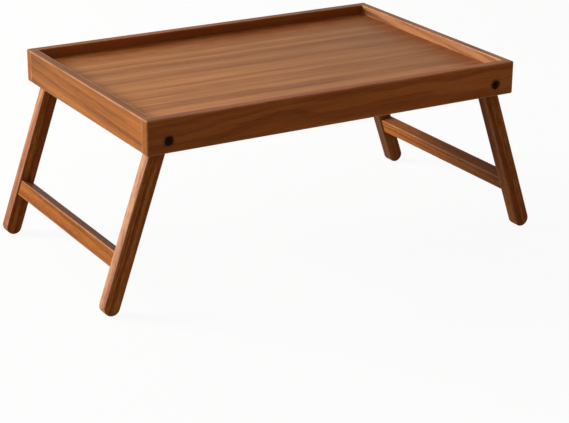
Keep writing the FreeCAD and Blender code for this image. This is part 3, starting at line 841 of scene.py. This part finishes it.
def bolt_rows():
    """A bolt from its tip to the bottom of its socket."""
    rows = [(SHANK_END, round_reach(0.0), 0)]
    for step in range(THREAD_ROWS + 1):
        depth = SHANK_END + (THREAD_START - SHANK_END) * step / THREAD_ROWS
        fade = max(0.0, TIP_EASE - (SHANK_END - depth))
        rows.append((depth, thread_reach(depth, fade), 0))
    socket, socket_floor = hexagon_reach(SOCKET_ACROSS), HEAD_TOP + SOCKET_DEPTH
    return rows + [
        (THREAD_START - THREAD_RUNOUT, round_reach(SHANK_RADIUS), 0),
        (HEAD_FOOT, round_reach(SHANK_RADIUS), 0),
        (HEAD_FOOT, round_reach(HEAD_RADIUS), 0),
        (HEAD_TOP + HEAD_EASE, round_reach(HEAD_RADIUS), 0),
        (HEAD_TOP, round_reach(HEAD_RADIUS - HEAD_EASE), 0),
        (HEAD_TOP, hexagon_reach(SOCKET_ACROSS + 2 * SOCKET_EASE), 0),
        (HEAD_TOP + SOCKET_EASE, socket, 0),
        (socket_floor, socket, 0),
        (socket_floor + SOCKET_CONE, round_reach(0.0), 0),
    ]


print("rows in a bolt:", len(bolt_rows()))

# %% Rows of a nut
NUT_SEAT, NUT_HEIGHT, NUT_ACROSS, NUT_BORE = 0.0322, 0.0045, 0.008, 0.00256
STEEL_HEIGHT, NUT_EASE, CORNER_CUT = 0.0033, 0.0004, 0.00015
CUP_RADIUS, CUP_RIM, CUP_MOUTH = 0.0037, 0.0033, 0.0030     # the cup that holds the ring
RING_RADIUS, RING_MOUTH, RING_SINK, RING_EASE = 0.00295, 0.0027, 0.0002, 0.0005


def nut_rows():
    """A nut from its bore at the seat, round the outside, and back down the bore."""
    steel_end, top = NUT_SEAT + STEEL_HEIGHT, NUT_SEAT + NUT_HEIGHT
    bore, flats = round_reach(NUT_BORE), hexagon_reach(NUT_ACROSS)
    cut_corners = hexagon_reach(NUT_ACROSS, NUT_ACROSS / 2 + CORNER_CUT)
    return [
        (NUT_SEAT, bore, 0),
        (NUT_SEAT, cut_corners, 0),
        (NUT_SEAT + NUT_EASE, flats, 0),
        (steel_end - NUT_EASE, flats, 0),
        (steel_end, cut_corners, 0),
        (steel_end, round_reach(CUP_RADIUS), 0),
        (top - NUT_EASE, round_reach(CUP_RADIUS), 0),
        (top, round_reach(CUP_RIM), 0),
        (top, round_reach(CUP_MOUTH), 0),
        (top - RING_SINK, round_reach(RING_RADIUS), 1),
        (top - RING_SINK, round_reach(RING_MOUTH), 1),
        (top - RING_EASE, bore, 1),
        (steel_end, bore, 1),
        (NUT_SEAT, bore, 0),
    ]


print("rows in a nut:", len(nut_rows()))

# %% Put the bolts and nuts in their places
bolt_finishes, nut_finishes = [small_finish["bolt"]], [small_finish["nut"], lock_ring]
for name in list(parts):
    if kind_of[name] == "bolt":
        turned_piece("threaded_" + name, name, bolt_rows(), bolt_finishes)
    if kind_of[name] == "nut":
        turned_piece("locking_" + name, name, nut_rows(), nut_finishes)
print("replaced:", len(replaced))

# %% [markdown]
# ## Floor
# The table stands on a plain white floor that runs out of sight. A white floor lit like
# the object would throw too much light up at it, so the floor looks white only to the
# camera and in reflections, and is a mid grey to the light that bounces. It is clear
# from below, so that a view from under the table isn't blocked.

# %% One look for the camera, another for the light
PURE_WHITE = opaque(1, 1, 1)


def mix_shaders(tree, share, first, second):
    """One Mix Shader node between two shader nodes."""
    node = add(tree, "MixShader", Fac=share)
    tree.links.new(first.outputs[0], node.inputs[1])
    tree.links.new(second.outputs[0], node.inputs[2])
    return node


def seen_directly(tree):
    """1 for what the camera sees, straight or in a reflection or through glass."""
    path = add(tree, "LightPath").outputs
    mirrored = calc(tree, "MAXIMUM", path["Is Glossy Ray"], path["Is Transmission Ray"])
    return calc(tree, "MAXIMUM", path["Is Camera Ray"], mirrored)


print("helpers:", [helper.__name__ for helper in (mix_shaders, seen_directly)])

# %% Make the floor
FLOOR_SIZE, FLOOR_LEVEL = 24, -0.0002       # metres; a hair below the feet
FLOOR_WHITE, FLOOR_GREY = opaque(0.9, 0.9, 0.9), opaque(0.42, 0.41, 0.40)
SHADOW_SHARE = 0.07               # how much of what the camera sees is lit and shaded


def make_floor():
    """A wide plane that keeps a faint shadow, and is clear from below."""
    bpy.ops.mesh.primitive_plane_add(size=FLOOR_SIZE, location=(0, 0, FLOOR_LEVEL))
    floor = bpy.context.object
    floor.name = "floor"
    material = bpy.data.materials.new("floor_white")
    material.use_nodes = True
    tree = material.node_tree
    tree.nodes.clear()
    glow = add(tree, "Emission", Color=PURE_WHITE, Strength=1.0)
    white = add(tree, "BsdfDiffuse", Color=FLOOR_WHITE)
    grey = add(tree, "BsdfDiffuse", Color=FLOOR_GREY)
    shown = mix_shaders(tree, SHADOW_SHARE, glow, white)
    both = mix_shaders(tree, seen_directly(tree), grey, shown)
    from_below = add(tree, "NewGeometry").outputs["Backfacing"]
    one_sided = mix_shaders(tree, from_below, both, add(tree, "BsdfTransparent"))
    out = add(tree, "OutputMaterial")
    tree.links.new(one_sided.outputs[0], out.inputs["Surface"])
    floor.data.materials.append(material)
    return floor


print("floor in metres:", round(make_floor().dimensions.x))

# %% [markdown]
# ## Light and air
# The light is one low, soft panel behind the left end, near enough to fade a little on
# its way to the right end. An even pale sky fills the rest, so no second lamp is needed.

# %% Sky and panel
SKY_COLOUR, SKY_LIGHT = opaque(1, 0.98, 0.95), 0.30
KEY_COLOUR, KEY_LIGHT = (1.0, 0.97, 0.92), 1.3
KEY_SIDE = (-0.7, 0.6, 0.4)       # the way from the tray to the panel
KEY_DISTANCE, KEY_WIDTH = 3.2, 1.45         # metres
TRAY_MIDDLE = sum(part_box("tray_board"), Vector()) / 2


def make_sky(colour, strength):
    """A sky that is white to look at and gives a softer light."""
    world = bpy.data.worlds.new("studio_air")
    bpy.context.scene.world = world
    world.use_nodes = True
    tree = world.node_tree
    tree.nodes.clear()
    soft = add(tree, "Background", Color=colour, Strength=strength)
    white = add(tree, "Background", Color=PURE_WHITE, Strength=1.0)
    both = mix_shaders(tree, seen_directly(tree), soft, white)
    out = add(tree, "OutputWorld")
    tree.links.new(both.outputs[0], out.inputs["Surface"])


def make_panel(name, towards, distance, width, level):
    """A square lit panel that faces the tray; level is the light it gives on the tray."""
    lamp = bpy.data.lights.new(name, "AREA")
    lamp.shape, lamp.size = "SQUARE", width
    lamp.energy = level * (math.pi * distance) ** 2
    panel = bpy.data.objects.new(name, lamp)
    panel.location = TRAY_MIDDLE + Vector(towards).normalized() * distance
    panel.rotation_mode = "QUATERNION"
    panel.rotation_quaternion = Vector(towards).to_track_quat("Z", "Y")
    bpy.context.scene.collection.objects.link(panel)
    return panel


make_sky(SKY_COLOUR, SKY_LIGHT)
key = make_panel("key", KEY_SIDE, KEY_DISTANCE, KEY_WIDTH, KEY_LIGHT)
key.data.color = KEY_COLOUR
bpy.context.scene.view_settings.view_transform = "Standard"

# %% [markdown]
# ## Camera
# The eye is low, in front and to the left, and far off behind a long lens, so the
# table's long edges barely run together. The camera has a slight roll.

# %% Place the camera
EYE = Vector((-1.0318, -1.7937, 0.8081))    # metres, in the table's frame
HEADING = math.radians(30.51)               # from +Y towards +X
LOOK_DOWN = math.radians(20.78)
ROLL = math.radians(0.45)
FILM_WIDTH = 36                             # millimetres
FOCAL_PIXELS, PICTURE_WIDTH = 1730.6, 569   # the lens and the picture, in pixels
NEAREST, FARTHEST = 0.05, 60                # metres


def place_camera():
    """A camera at the eye, by its three axes."""
    level = math.cos(LOOK_DOWN)
    ahead = Vector((math.sin(HEADING) * level, math.cos(HEADING) * level, -math.sin(LOOK_DOWN)))
    right = ahead.cross(Vector((0, 0, 1))).normalized()
    up = right.cross(ahead)
    turn = Matrix((right, up, -ahead)).transposed() @ Matrix.Rotation(ROLL, 3, "Z")
    lens = bpy.data.cameras.new("camera")
    lens.lens, lens.sensor_width = FILM_WIDTH * FOCAL_PIXELS / PICTURE_WIDTH, FILM_WIDTH
    lens.clip_start, lens.clip_end = NEAREST, FARTHEST
    camera = bpy.data.objects.new("camera", lens)
    camera.matrix_world = Matrix.Translation(EYE) @ turn.to_4x4()
    bpy.context.scene.collection.objects.link(camera)
    bpy.context.scene.camera = camera
    return camera


print("lens in mm:", round(place_camera().data.lens, 1))
